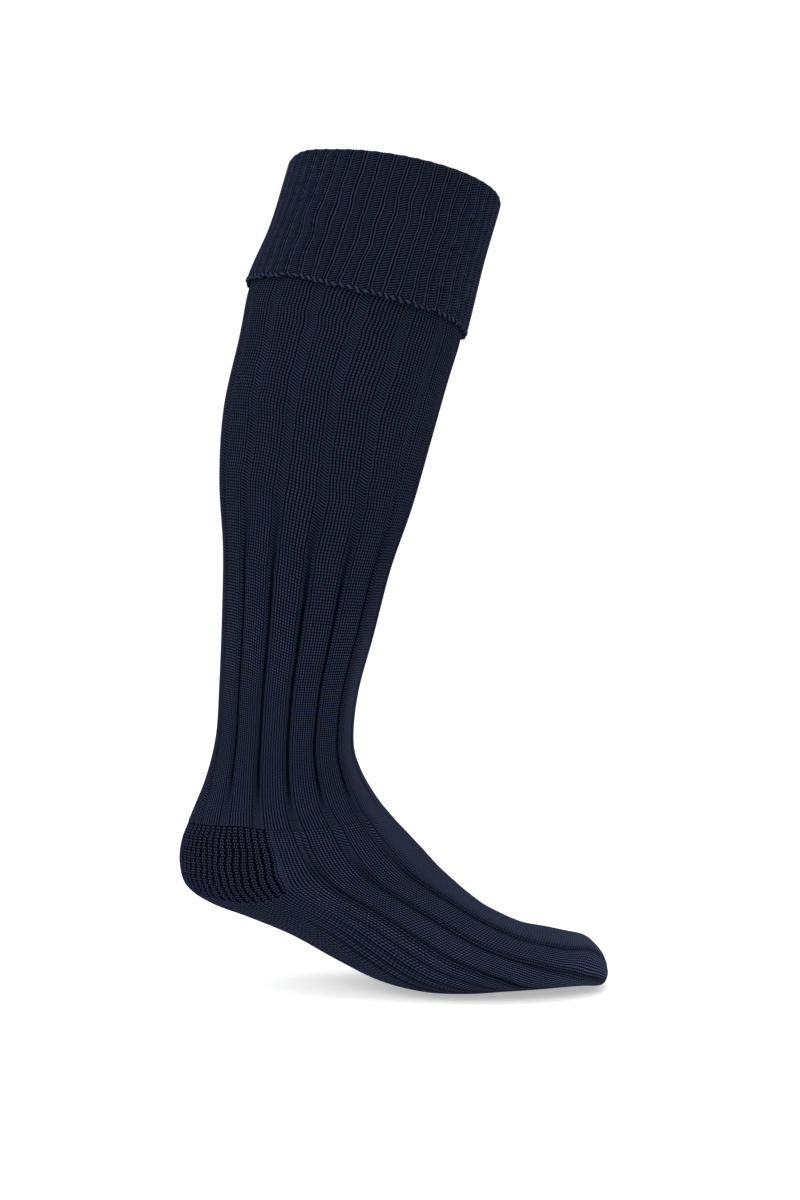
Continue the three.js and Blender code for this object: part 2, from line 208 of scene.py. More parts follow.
def shareOf(at, rib):
    # straight between the channel lines 1.5, 2.5 and 3.5 ribs from the front, then evenly over
    # the four ribs that are left to the back
    inner, middle, edge = (np.interp(at, channelLines[:, 0], channelLines[:, k]) for k in (1, 2, 3))
    a = np.abs(rib)
    share = np.where(a < 1.5, inner * a / 1.5, inner + (middle - inner) * (a - 1.5))
    share = np.where(a < 2.5, share, middle + (edge - middle) * (a - 2.5))
    share = np.where(a < 3.5, share, edge + (0.5 - edge) * (a - 3.5) / 4)
    return np.sign(rib) * share


def legEnd(share):
    # the section where the leg ends, the same on both sides of the sock
    return np.interp(0.5 - np.abs(0.5 - np.mod(share, 1)), legEndLine[:, 0], legEndLine[:, 1])


def atDistance(distance):
    # sections reached by a distance down the middle line of the leg
    ats = np.linspace(-1, 10, 1101)
    middle = sectionAt(ats)[:, :2]
    run = np.concatenate([[0], np.cumsum(np.linalg.norm(np.diff(middle, axis=0), axis=1))])
    return np.interp(distance, run - np.interp(0, ats, run), ats)


def smooth(low, high, value):
    # from 0 at low to 1 at high, level at both ends
    t = np.clip((value - low) / (high - low), 0, 1)
    return t * t * (3 - 2 * t)


def ripple(u, v, seed, waves=7):
    # soft irregular waves, mostly between -1 and 1: a sum of sines of seeded lengths and places
    dice = np.random.default_rng(seed)
    total = 0
    for k in range(waves):
        turn, place = dice.uniform(0, 2 * np.pi, 2)
        length = dice.uniform(0.7, 1.9)
        total = total + np.sin((u * np.cos(turn) + v * np.sin(turn)) * length + place)
    return total / np.sqrt(waves)


# Meshes: a piece is made of blocks, each a fine outer grid and a coarse inner one that are
# joined along the block's free edges. Blocks that touch are welded.


def gridFaces(rows, columns, closed, start, mapStart, outwards=True):
    # corner numbers of each cell, and the same without the wrap for the stitch map
    r, c = np.meshgrid(np.arange(rows - 1), np.arange(columns if closed else columns - 1),
                       indexing="ij")
    wide = columns + 1 if closed else columns
    steps = [(0, 0), (0, 1), (1, 1), (1, 0)]
    if not outwards:
        steps.reverse()
    faces = np.stack([(r + a) * columns + (c + b) % columns for a, b in steps], axis=-1)
    maps = np.stack([(r + a) * wide + c + b for a, b in steps], axis=-1)
    return faces.reshape(-1, 4) + start, maps.reshape(-1, 4) + mapStart


def zipFaces(fine, coarse, flip):
    # triangles between a fine line of corners and a coarse one that has every n-th of its places
    n = (len(fine) - 1) // (len(coarse) - 1)
    j = np.arange(len(fine) - 1)
    g = np.arange(len(coarse) - 1)
    first = np.stack([fine[j], fine[j + 1], coarse[(j + n // 2) // n]], axis=-1)
    second = np.stack([coarse[g], fine[g * n + n - n // 2], coarse[g + 1]], axis=-1)
    faces = np.concatenate([first, second])
    return faces[:, ::-1] if flip else faces


def linePairs(line):
    return np.stack([line[:-1], line[1:]], axis=-1)


def coarser(rows, every):
    # how many of the rows are left when only every n-th is taken
    return (rows - 1) // every + 1


def shellOf(outer, outerMap, inner, innerMap, closed=False,
            free=("top", "bottom", "near", "far"), joined=0):
    # outer and inner are grids of points; a closed one goes right round, and its map has one
    # more column than it has columns of points. The free edges are closed between the two, but
    # for the joined coarse cells at each end of the top, where another block goes on.
    rows, columns = outer.shape[:2]
    innerRows, innerColumns = inner.shape[:2]
    wide, innerWide = outerMap.shape[1], innerMap.shape[1]
    start, mapStart = rows * columns, rows * wide
    faces = [gridFaces(rows, columns, closed, 0, 0),
             gridFaces(innerRows, innerColumns, closed, start, mapStart, outwards=False)]
    pairs = []
    across, innerAcross = np.arange(wide), np.arange(innerWide)
    down, innerDown = np.arange(rows), np.arange(innerRows)
    skipped = joined * ((wide - 1) // (innerWide - 1))
    top, innerTop = across[skipped:wide - skipped], innerAcross[joined:innerWide - joined]
    lines = {
        "top": (0 * top, top, 0 * innerTop, innerTop, True),
        "bottom": (0 * across + rows - 1, across, 0 * innerAcross + innerRows - 1, innerAcross,
                   False),
        "near": (down, 0 * down, innerDown, 0 * innerDown, False),
        "far": (down, 0 * down + columns - 1, innerDown, 0 * innerDown + innerColumns - 1, True),
    }
    for edge in free:
        if closed and edge in ("near", "far"):
            continue
        r, c, innerR, innerC, flip = lines[edge]
        fine = r * columns + c % columns
        coarse = innerR * innerColumns + innerC % innerColumns + start
        faces.append((zipFaces(fine, coarse, flip),
                      zipFaces(r * wide + c, innerR * innerWide + innerC + mapStart, flip)))
        pairs += [linePairs(fine), linePairs(coarse)]
    points = np.concatenate([outer.reshape(-1, 3), inner.reshape(-1, 3)])
    maps = np.concatenate([outerMap.reshape(-1, 2), innerMap.reshape(-1, 2)])
    return points, maps, faces, pairs


def makePiece(name, shells, material):
    # puts the shells of a piece into one mesh, which stands for the node of the same name
    points, corners, sizes, mapValues, pairs, count = [], [], [], [], [], 0
    for shellPoints, maps, faceSets, shellPairs in shells:
        points.append(shellPoints)
        for faces, mapFaces in faceSets:
            corners.append((faces + count).ravel())
            sizes.append(np.full(len(faces), faces.shape[1]))
            mapValues.append(maps[mapFaces.ravel()])
        pairs += [p + count for p in shellPairs]
        count += len(shellPoints)
    points, corners, sizes = map(np.concatenate, (points, corners, sizes))
    # points that are the same to a ten-thousandth of a millimetre are one
    _, first, welded = np.unique(np.round(points * 1e7).astype(np.int64), axis=0,
                                 return_index=True, return_inverse=True)
    points, welded = points[first], welded.ravel()
    mesh = bpy.data.meshes.new(name)
    mesh.vertices.add(len(points))
    mesh.vertices.foreach_set("co", points.ravel())
    mesh.loops.add(len(corners))
    mesh.loops.foreach_set("vertex_index", welded[corners].astype(np.int32))
    mesh.polygons.add(len(sizes))
    mesh.polygons.foreach_set("loop_start", (np.cumsum(sizes) - sizes).astype(np.int32))
    mesh.polygons.foreach_set("use_smooth", np.ones(len(sizes), dtype=bool))
    stitches = mesh.uv_layers.new(name="stitches")
    stitches.data.foreach_set("uv", np.concatenate(mapValues).ravel())
    mesh.update(calc_edges=True)
    mesh.validate()
    if pairs:
        # the shading breaks along the free edges, so that no dark line runs along them
        rims = np.sort(welded[np.concatenate(pairs)], axis=1)
        ends = np.empty(2 * len(mesh.edges), dtype=np.int32)
        mesh.edges.foreach_get("vertices", ends)
        ends = np.sort(ends.reshape(-1, 2), axis=1).astype(np.int64)
        sharp = np.isin(ends[:, 0] * len(points) + ends[:, 1],
                        rims[:, 0] * len(points) + rims[:, 1])
        mesh.attributes.new("sharp_edge", "BOOLEAN", "EDGE").data.foreach_set("value", sharp)
    piece = bpy.data.objects.new(name, mesh)
    bpy.context.scene.collection.objects.link(piece)
    mesh.materials.append(material)
    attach(piece, "root")
    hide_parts(name)
    print(name, "made,", len(points), "points,", int((sizes - 2).sum()), "triangles")


# The wide-ribbed knitting of the leg and the instep

# sections where the two walls end at the toe, just short of its tip
tip = dict(outer=lastSection - 0.03, inner=lastSection - 1.1)

wideRib = dict(
    # at these sections: depth of the sunk purl columns between two ribs, half their width as a
    # share of a rib's, and the height of a column of stitches
    sections=(3, 6, 10, 12, 14, 17),
    channelDepth=(0.0006, 0.0013, 0.0016, 0.0012, 0.0012, 0.0012),
    channelHalf=(0.10, 0.065, 0.07, 0.09, 0.06, 0.035),
    wale=(0.00035, 0.0002, 0.00018, 0.00024, 0.00022, 0.0001),
    crown=0.00035,                  # each rib's rounding
    # share of depth that the channels down the front and over the heel lose, and the sections
    # over which they do
    frontLoss=(0.85, 10, 12.5), heelLoss=(0.8, 10.9, 11.4),
    fadeOut=(24.6, 25.8),           # sections over which the relief runs out at the toe
    # the dents beside the ankle's front, where it bends: depth, section and spread
    crease=0.0011, creaseAt=11.32, creaseSpread=0.2,
    # the wales' bends: share of a rib, more of it on the calf, waves per course and rib, seed
    bends=[(0.02, 0.04, 0.045, 0.9, 11), (0, 0.030, 0.18, 1.5, 23), (0, 0.016, 0.4, 2.6, 29)],
    topGap=0.0003,                  # below the cuff's inner layer
    tuck=0.0005,                    # how much tighter the leg lies under the cuff
    # sections at which the ends of the leg and the instep look up their girth shares
    legEndAt=11.5, instepStartAt=11.8,
    instepRibs=7,
    columnsPerWale=4,
    legRows=133,
    instepRows=289,
    innerEvery=12,                  # the inner wall takes every such column and row
)


def ribbedRelief(at, rib):
    # a channel at every half rib, a soft crown between two of them, and a ridge for each wale
    r = wideRib
    depth, half, wale = (np.interp(at, r["sections"], r[k])
                         for k in ("channelDepth", "channelHalf", "wale"))
    fromChannel = np.abs(np.mod(rib, 1) - 0.5)
    side = np.abs(rib)
    for (loss, *stretch), there in ((r["frontLoss"], side < 1), (r["heelLoss"], side > 4)):
        depth = depth * (1 - loss * smooth(*stretch, at) * there)
    sunk = 1 - smooth(0.3, 1.9, fromChannel / half)
    crown = r["crown"] * (1 - (1 - 2 * fromChannel) ** 2)
    ridge = np.abs(np.sin(np.pi * rib * form["walesPerRib"])) * (1 - 0.7 * sunk)
    crease = r["crease"] * np.exp(-((at - r["creaseAt"]) / r["creaseSpread"]) ** 2) * (
        smooth(0.5, 1.2, side) - smooth(1.6, 2.6, side))
    relief = crown + wale * ridge - depth * sunk - crease
    return relief * (1 - smooth(*r["fadeOut"], at)) - form["inset"]


def ribWander(at, rib, course):
    # the wales sway from side to side in long, middling and short bends, mostly on the calf
    calf = 1 - smooth(4.5, 8, at)
    sway = 0
    for always, onCalf, perCourse, perRib, seed in wideRib["bends"]:
        sway = sway + (always + onCalf * calf) * ripple(course * perCourse, rib * perRib, seed)
    # they run out down the back, where the first column meets the last
    return sway * smooth(0, 0.8, form["ribs"] / 2 - np.abs(rib))


def legPiece(material):
    f, r = form, wideRib
    n = r["innerEvery"]
    columns = f["ribs"] * f["walesPerRib"] * r["columnsPerWale"]
    top, hem = atDistance(cuff["seat"] + r["topGap"]), atDistance(cuff["depth"])

    def grid(rows, columns, out):
        rib = (np.arange(columns + 1) / columns - 0.5)[None, :] * f["ribs"]
        v = np.linspace(0, 1, rows)[:, None]
        at = top + v * (legEnd(shareOf(r["legEndAt"], rib)) - top)
        course = v * f["legCourses"] + 0 * rib
        # the sway runs out over the last tenth, to meet the pieces below
        share = shareOf(at, rib + ribWander(at, rib, course) * smooth(0, 0.1, 1 - v))
        lift = ribbedRelief(at, rib) if out is None else out + 0 * at
        lift = lift - r["tuck"] * smooth(-0.3, 0.1, hem - at)
        points = skin(at, share, lift)[:, :-1]
        return points, np.stack([rib * f["walesPerRib"] + 0 * v, course], axis=-1)

    outer = grid(r["legRows"], columns, None)
    inner = grid(coarser(r["legRows"], n), columns // n, -f["wall"])
    makePiece("leg", [shellOf(*outer, *inner, closed=True)], material)


def instepPiece(material):
    f, r = form, wideRib
    ribs, n = r["instepRibs"], r["innerEvery"]
    columns = ribs * f["walesPerRib"] * r["columnsPerWale"]

    def grid(rows, columns, out, end):
        rib = np.linspace(-ribs / 2, ribs / 2, columns + 1)[None, :]
        v = np.linspace(0, 1, rows)[:, None]
        start = legEnd(shareOf(r["instepStartAt"], rib))
        at = start + (end - start) * v
        lift = ribbedRelief(at, rib) if out is None else out + 0 * at
        points = skin(at, shareOf(at, rib), lift)
        course = f["legCourses"] + v * f["footCourses"] + 0 * rib
        return points, np.stack([rib * f["walesPerRib"] + 0 * v, course], axis=-1)

    outer = grid(r["instepRows"], columns, None, tip["outer"])
    inner = grid(coarser(r["instepRows"], n), columns // n, -f["wall"], tip["inner"])
    makePiece("instep", [shellOf(*outer, *inner)], material)


# The plain-knitted sole. A gusset strip on each side runs up between the instep's edge and the
# heel pocket, and joins the underside where the pocket ends.

plainKnit = dict(
    wale=0.00014,         # height of a column of stitches
    gussetWales=9,
    underWales=93,        # from one pocket corner round the underside to the other
    gussetCourses=31,
    gussetTopAt=11.75,    # section at which the gusset's top looks up its girth shares
    mapStart=42,          # place of the instep's edge on the stitch map: 3.5 ribs of 12 wales
    columnsPerWale=4,
    gussetRows=73,
    underRows=181,
    innerEvery=6,
    # purl lines on the sole: the wale midway between the first two, and wales from line to line
    linesFrom=8.5, linesApart=5.0,
)
soleWales = 2 * plainKnit["gussetWales"] + plainKnit["underWales"]


def edgeShare(at):
    return np.interp(at, channelLines[:, 0], channelLines[:, 3])


def pocketShare(at):
    # the pocket's front edge, and the line on which it runs on below the pocket
    cornerAt, cornerShare = pocketFrontLine[-1]
    below = edgeShare(at) + (0.5 - edgeShare(at)) * (
        (cornerShare - edgeShare(cornerAt)) / (0.5 - edgeShare(cornerAt)))
    return np.where(at < cornerAt,
                    np.interp(at, pocketFrontLine[:, 0], pocketFrontLine[:, 1]), below)


def soleShare(at, wale):
    # wale counts from the near edge; the far half mirrors the near one
    p = plainKnit
    near = np.minimum(wale, soleWales - wale)
    gusset = np.clip(near / p["gussetWales"], 0, 1)
    under = np.clip((near - p["gussetWales"]) / (p["underWales"] / 2), 0, 1)
    share = edgeShare(at) + gusset * (pocketShare(at) - edgeShare(at)) + under * (
        0.5 - pocketShare(at))
    return np.where(wale <= soleWales / 2, share, 1 - share)


def solePiece(material):
    f, p = form, plainKnit
    n = p["innerEvery"]
    fine, coarse = p["columnsPerWale"], p["columnsPerWale"] / n
    cornerAt = pocketFrontLine[-1, 0]

    def grid(rows, wales, start, end, out, firstCourse, courses):
        v = np.linspace(0, 1, rows)[:, None]
        wale = wales[None, :]
        at = start + (end - start) * v
        ridge = p["wale"] * np.abs(np.sin(np.pi * wale))
        lift = ridge * (1 - smooth(*wideRib["fadeOut"], at)) - f["inset"]
        points = skin(at, soleShare(at, wale), lift if out is None else out + 0 * at)
        course = firstCourse + courses * v + 0 * wale
        return points, np.stack([p["mapStart"] + wale + 0 * v, course], axis=-1)

    def gusset(first, rows, perWale, out):
        wales = first + np.linspace(0, p["gussetWales"], int(p["gussetWales"] * perWale) + 1)
        start = legEnd(soleShare(p["gussetTopAt"], wales))[None, :]
        return grid(rows, wales, start, cornerAt, out, f["legCourses"], p["gussetCourses"])

    def under(rows, perWale, out, end):
        wales = np.linspace(0, soleWales, int(round(soleWales * perWale)) + 1)
        share = soleShare(cornerAt, wales)
        share = np.minimum(share, 1 - share)
        start = np.interp(share, pocketUnderLine[:, 0], pocketUnderLine[:, 1])[None, :]
        return grid(rows, wales, start, end, out, f["legCourses"] + p["gussetCourses"],
                    f["footCourses"] - p["gussetCourses"])

    shells = [shellOf(*gusset(first, p["gussetRows"], fine, None),
                      *gusset(first, coarser(p["gussetRows"], n), coarse, -f["wall"]),
                      free=("top", "near", "far"))
              for first in (0, soleWales - p["gussetWales"])]
    shells.append(shellOf(*under(p["underRows"], fine, None, tip["outer"]),
                          *under(coarser(p["underRows"], n), coarse, -f["wall"], tip["inner"]),
                          joined=p["gussetWales"] * fine // n))
    makePiece("sole", shells, material)


# The heel pocket: fine deep ribs between its two front edges

heelRib = dict(
    ribs=38,
    depth=0.0012,
    inset=0.0001,          # how far under the solids' surface the relief begins
    courses=28,
    rows=181,
    columnsPerRib=12,      # the inner wall has one column a rib, and as many rows fewer
    drawBack=(0.3, 0.15),  # how much the ribs bunch towards the back, all along and low down
    drawFrom=0.12,         # taken from this far outside the front edge
    sway=0.10,             # of the ribs' width, by which they lean this way and that
    uneven=0.05,           # of the pocket's height, by which they end earlier or later
)


def heelPiece(material):
    h = heelRib
    topShare, lastShare = pocketFrontLine[0, 1], pocketFrontLine[-1, 1]

    def inwardsAt(inwards, v):
        # 0 on the pocket's front edge and 1 at the back; the power keeps the ribs upright, and
        # is taken from a little way out, so that the first ribs are not drawn wide
        power = 1 - h["drawBack"][0] * v - h["drawBack"][1] * v ** 4
        first = h["drawFrom"] ** power
        return ((inwards + h["drawFrom"]) ** power - first) / (
            (1 + h["drawFrom"]) ** power - first)

    def grid(rows, columns, out):
        across = np.linspace(-1, 1, columns + 1)[None, :]
        v = np.linspace(0, 1, rows)[:, None]
        inwards = 1 - np.abs(across)
        start = np.interp(topShare + inwards * (0.5 - topShare),
                          legEndLine[:, 0], legEndLine[:, 1])
        endShare = lastShare + inwardsAt(inwards, 1) * (0.5 - lastShare)
        end = np.interp(endShare, pocketUnderLine[:, 0], pocketUnderLine[:, 1])
        at = start + (end - start) * v
        front = np.interp(at, pocketFrontLine[:, 0], pocketFrontLine[:, 1])
        share = front + inwardsAt(inwards, v) * (0.5 - front)
        share = np.where(across < 0, share, 1 - share)
        rib = (across + 1) / 2 * h["ribs"]
        sway = h["sway"] * ripple(v * 14 + 0 * rib, rib * 0.8 + 0 * v, 31)
        uneven = h["uneven"] * ripple(0 * v + rib * 3.1, 0 * v + rib, 41)
        ribbed = smooth(0.02, 0.25, v) * smooth(0, 0.1, 1 - v - uneven * (1 - np.abs(across)))
        # the grooves are shallower and narrower by the two front edges
        edge = smooth(0.02, 0.22, inwards)
        groove = smooth(0.85 - 0.35 * edge, 1, np.abs(np.mod(rib + sway, 1) - 0.5) * 2)
        groove = groove * smooth(0.016, 0.03, inwards) * (0.3 + 0.7 * edge)
        lift = -h["inset"] - h["depth"] * ribbed * groove if out is None else out + 0 * at
        return skin(at, share, lift), np.stack([rib + sway, v * h["courses"] + 0 * rib], axis=-1)

    outer = grid(h["rows"], h["ribs"] * h["columnsPerRib"], None)
    inner = grid(coarser(h["rows"], h["columnsPerRib"]), h["ribs"], -form["wall"])
    makePiece("heel_pocket", [shellOf(*outer, *inner)], material)


# The turned-over cuff: its profile is carried round the leg, from the hem up the ribbed face,
# over the fold and down the inner layer, and back up between the layers. A knotted cord of yarn
# runs along the hem.

cuff = dict(
    depth=0.071, wall=0.0023, gap=0.0004, seat=0.014, foldRise=0.0047,
    foldFrom=0.0005, foldTo=0.0012,     # drops from the rim where the fold begins and ends
    rimBow=0.001, backRise=0.0018,
    ribs=48, ribDepth=0.0009, columnsPerRib=16,
    faceRows=84, foldRows=15, innerRows=6, backRows=8,
    seam=0.03,          # of the girth, over which sways run out at the front
    sway=0.0026,        # of the girth, to which the ribs lean this way and that
    # its waves: amount, bends down the cuff and round it, seed
    swayWaves=[(1, 75, 22, 5), (0.5, 210, 60, 6)],
    hemWave=0.0006,     # how far the hem rises and falls
    mapStep=0.0014,     # length along the profile of one row of the stitch map
    knotsPerRib=2,
    cordRadius=0.00115, cordThin=0.7, cordKnot=0.42,    # at its thinnest, and what knots add
    cordTwist=0.16,     # how far its two strands stand out
    cordUneven=0.18, cordWobble=0.00035,
    cordSunk=0.6, cordWidth=1.1,
    cordColumnsPerRib=18, cordRows=9,
)


def fromSeam(share):
    # 0 down the front, where the first column meets the last, and 1 a little way round from it
    return smooth(0, cuff["seam"], np.minimum(share, 1 - share))


def cuffSway(down, share):
    waves = sum(amount * ripple(down * perDrop, share * perTurn, seed)
                for amount, perDrop, perTurn, seed in cuff["swayWaves"])
    return cuff["sway"] * fromSeam(share) * waves


def hemDrop(share):
    # the hem rises and falls over a few ribs, and dips a little between each two of them
    rib = share * cuff["ribs"]
    wave = fromSeam(share) * ripple(rib * 0.7, 0 * rib, 17)
    return cuff["hemWave"] * (wave - 0.6 * np.cos(2 * np.pi * rib))


def cuffPiece(material):
    c, wall = cuff, form["wall"]
    outerOut = c["gap"] + c["wall"]
    middle, half = (outerOut - wall) / 2, (outerOut + wall) / 2
    # the profile: drop from the rim, way out from the plain surface, and share of the relief
    face = np.linspace(c["depth"], c["foldFrom"], c["faceRows"])
    turn = np.linspace(0, np.pi, c["foldRows"])
    inner = np.linspace(c["foldTo"], c["seat"], c["innerRows"])
    under = np.array([c["seat"], c["wall"] / 3, c["wall"] / 3])
    back = np.linspace(c["wall"] / 3, c["depth"], c["backRows"])[1:]
    down = np.concatenate([face, -c["foldRise"] * np.sin(turn), inner, under, back])
    out = np.concatenate([np.full(len(face), outerOut), middle + half * np.cos(turn),
                          np.full(len(inner), -wall), [0, 0, c["gap"]],
                          np.full(len(back), c["gap"])])
    ribbed = np.concatenate([np.ones(len(face)), smooth(-1, 0.3, np.cos(turn)),
                             np.zeros(len(inner) + len(under) + len(back))])
    columns = c["ribs"] * c["columnsPerRib"]
    share = (np.arange(columns + 1) / columns)[:, None]
    rib = share * c["ribs"]
    # from the middle of each knit wale: a groove, a line on each side of it, a dip and a ladder
    fromWale = np.abs(np.mod(rib + 0.5, 1) - 0.5)
    groove = 1 - smooth(0.02, 0.08, fromWale)
    dip = 1 - smooth(0, 0.05, np.abs(fromWale - 0.2))
    relief = -c["ribDepth"] * (groove + 0.9 * dip + 0.25 * smooth(0.14, 0.24, fromWale)
                               - 0.6 * smooth(0.2, 0.5, fromWale))
    # the rim bows up at the sides, and stands a little higher round the back
    rim = c["rimBow"] * np.sin(2 * np.pi * share) ** 2
    rim = rim + c["backRise"] * smooth(0.34, 0.43, np.minimum(share, 1 - share))
    bow = rim * np.clip(1 - np.maximum(down, 0) / c["seat"], 0, 1)
    hem = hemDrop(share) * smooth(0.6, 1, down / c["depth"])
    at = atDistance(down - bow + hem)
    place = share + cuffSway(down + 0 * share, share + 0 * down) * (out > 0)
    points = skin(at, place, out + ribbed * relief)
    # the profile is a ring, so its last row is followed by its first
    points = points.transpose(1, 0, 2)[:, :-1]
    run = np.concatenate([[0], np.cumsum(np.hypot(np.diff(down), np.diff(out)))]) / c["mapStep"]
    maps = np.stack([rib.T + 0 * run[:, None], run[:, None] + 0 * rib.T], axis=-1)
    maps = np.concatenate([maps, maps[-1:] + [0, 2]])
    faces, mapFaces = gridFaces(len(down) + 1, columns, True, 0, 0)
    faces = faces % (len(down) * columns)
    body = (points.reshape(-1, 3), maps.reshape(-1, 2), [(faces[:, ::-1], mapFaces[:, ::-1])], [])
    makePiece("turnover_cuff", [body, hemCord()], material)


def hemCord():
    # a tube along the hem with two strands wound round each other, thicker at every knot
    c = cuff
    rows, columns = c["cordRows"], c["ribs"] * c["cordColumnsPerRib"]
    share = (np.arange(columns + 1) / columns)[None, :]
    angle = (np.arange(rows + 1) / rows * 2 * np.pi)[:, None]
    knots = share * c["ribs"] * c["knotsPerRib"]
    uneven = 1 + c["cordUneven"] * ripple(knots * 1.3, 0 * knots, 71) * fromSeam(share)
    radius = c["cordRadius"] * uneven * (
        c["cordThin"] + c["cordKnot"] * np.abs(np.sin(np.pi * knots)))
    radius = radius * (1 + c["cordTwist"] * np.cos(2 * angle - 2 * np.pi * knots))
    wobble = c["cordWobble"] * ripple(knots * 1.9, 0 * knots + 2, 73) * fromSeam(share)
    down = c["depth"] + hemDrop(share) + wobble + radius * np.sin(angle)
    out = c["gap"] + c["wall"] - c["cordSunk"] * c["cordRadius"] + (
        c["cordWidth"] * radius * np.cos(angle))
    place = share + cuffSway(c["depth"] + 0 * share, share)
    points = skin(atDistance(down), place + 0 * angle, out)
    # rows and columns both go round, so the faces wrap in both directions. On the stitch map
    # the cord has the rows from -3 to -1, where the cuff's own has none.
    maps = np.stack([share * c["ribs"] + 0 * angle, angle / np.pi - 3 + 0 * share], axis=-1)
    faces, mapFaces = gridFaces(rows + 1, columns, True, 0, 0)
    faces = faces % (rows * columns)
    points = points[:-1, :-1]
    return points.reshape(-1, 3), maps.reshape(-1, 2), [(faces, mapFaces)], []


# Materials


class Wires:
    # short ways to add nodes to a tree and wire them up

    def __init__(self, tree):
        self.tree = tree

    def node(self, kind, *inputs, **settings):
        node = self.tree.nodes.new(kind)
        for key, value in settings.items():
            setattr(node, key, value)
        for k, value in enumerate(inputs):
            self.feed(node.inputs[k], value)
        return node

    def feed(self, socket, value):
        if isinstance(value, bpy.types.NodeSocket):
            self.tree.links.new(value, socket)
        elif value is not None:
            socket.default_value = value

    def math(self, operation, *inputs):
        return self.node("ShaderNodeMath", *inputs, operation=operation).outputs[0]

    def times(self, first, *others):
        for other in others:
            first = self.math("MULTIPLY", first, other)
        return first

    def minus(self, first, second):
        return self.math("SUBTRACT", first, second)

    def line(self, value, slope, base):
        # value x slope + base
        return self.math("MULTIPLY_ADD", value, slope, base)

    def ease(self, value, low, high, start=0.0, end=1.0):
        return self.node("ShaderNodeMapRange", value, low, high, start, end,
                         interpolation_type="SMOOTHSTEP").outputs[0]

    def mix(self, share, first, second):
        return self.node("ShaderNodeMix", share, None, first, second, data_type="FLOAT").outputs[0]

    def mixColour(self, share, first, second):
        # a colour mix keeps its two colours in its seventh and eighth sockets, and may overshoot
        node = self.node("ShaderNodeMix", share, data_type="RGBA", clamp_factor=False)
        self.feed(node.inputs[6], (*first, 1))
        self.feed(node.inputs[7], (*second, 1))
        return node.outputs[2]

    def along(self, value, first, *stages):
        # the first number, then eased over to each later one: (from, to, number)
        for low, high, after in stages:
            first = self.mix(self.ease(value, float(low), float(high)), first, after)
        return first

    def apart(self, value):
        # how far a value is from the middle of its cell of size 1: 0 there, 0.5 at the borders
        return self.math("ABSOLUTE", self.minus(self.math("FRACT", value), 0.5))

    def parts(self, vector):
        return self.node("ShaderNodeSeparateXYZ", vector).outputs[:2]

    def pair(self, u, v):
        return self.node("ShaderNodeCombineXYZ", u, v).outputs[0]

    def group(self, tree, **values):
        node = self.node("ShaderNodeGroup", node_tree=tree)
        for label, value in values.items():
            self.feed(node.inputs[label], value)
        return node.outputs


def setSockets(node, values):
    for label, value in values.items():
        node.inputs[label].default_value = value


def newGroup(name, inputs, outputs):
    # a shader node group with named sockets, each given by (name, kind, first value)
    tree = bpy.data.node_groups.new(name, "ShaderNodeTree")
    for label, kind, value in inputs:
        socket = tree.interface.new_socket(name=label, in_out="INPUT", socket_type=kind)
        if value is not None:
            socket.default_value = value
    for label, kind in outputs:
        tree.interface.new_socket(name=label, in_out="OUTPUT", socket_type=kind)
    wires = Wires(tree)
    return tree, wires, wires.node("NodeGroupInput").outputs, wires.node("NodeGroupOutput").inputs


def unevenStitchesGroup():
    # moves each place of the stitch map a little, by noise, so that no two stitches are alike
    tree, w, given, out = newGroup("unevenStitches", [
        ("Stitches", "NodeSocketVector", None), ("Amount", "NodeSocketFloat", 0.2),
    ], [("Stitches", "NodeSocketVector")])
    noise = w.node("ShaderNodeTexNoise", given["Stitches"], None, 0.55, 2.0).outputs["Color"]
    centred = w.node("ShaderNodeVectorMath", noise, (0.5, 0.5, 0.5), operation="SUBTRACT")
    moved = w.node("ShaderNodeVectorMath", centred.outputs[0], operation="SCALE")
    w.feed(moved.inputs["Scale"], given["Amount"])
    total = w.node("ShaderNodeVectorMath", given["Stitches"], moved.outputs[0], operation="ADD")
    w.feed(out["Stitches"], total.outputs[0])
    return tree


def knitStitchGroup():
    # each wale is a ridge of slanting stitches, one a course: cosine across it, a tent along it
    tree, w, given, out = newGroup("knitStitch", [
        ("Stitches", "NodeSocketVector", None), ("Slant", "NodeSocketFloat", 0.35),
        ("Courses", "NodeSocketFloat", 0.5), ("Split", "NodeSocketFloat", 0.2),
    ], [("Height", "NodeSocketFloat"), ("Light", "NodeSocketFloat")])
    u, v = w.parts(given["Stitches"])
    side = w.apart(u)
    ridge = w.math("POWER", w.math("COSINE", w.times(side, np.pi)), 0.8)
    slid = w.times(side, given["Slant"], 2.0)
    bead = w.math("POWER", w.line(w.apart(w.minus(v, slid)), -2.0, 1.0), 0.6)
    dip = w.times(given["Courses"], w.minus(1.0, bead))
    cleft = w.times(given["Split"], w.ease(side, 0.0, 0.14, 1.0, 0.0))
    height = w.times(ridge, w.minus(w.minus(1.0, dip), cleft))
    w.feed(out["Height"], height)
    # painted light and shade: lighter where a stitch stands high, darker where it lies low
    w.feed(out["Light"], w.ease(height, 0.42, 0.92, 0.0, 1.04))
    return tree


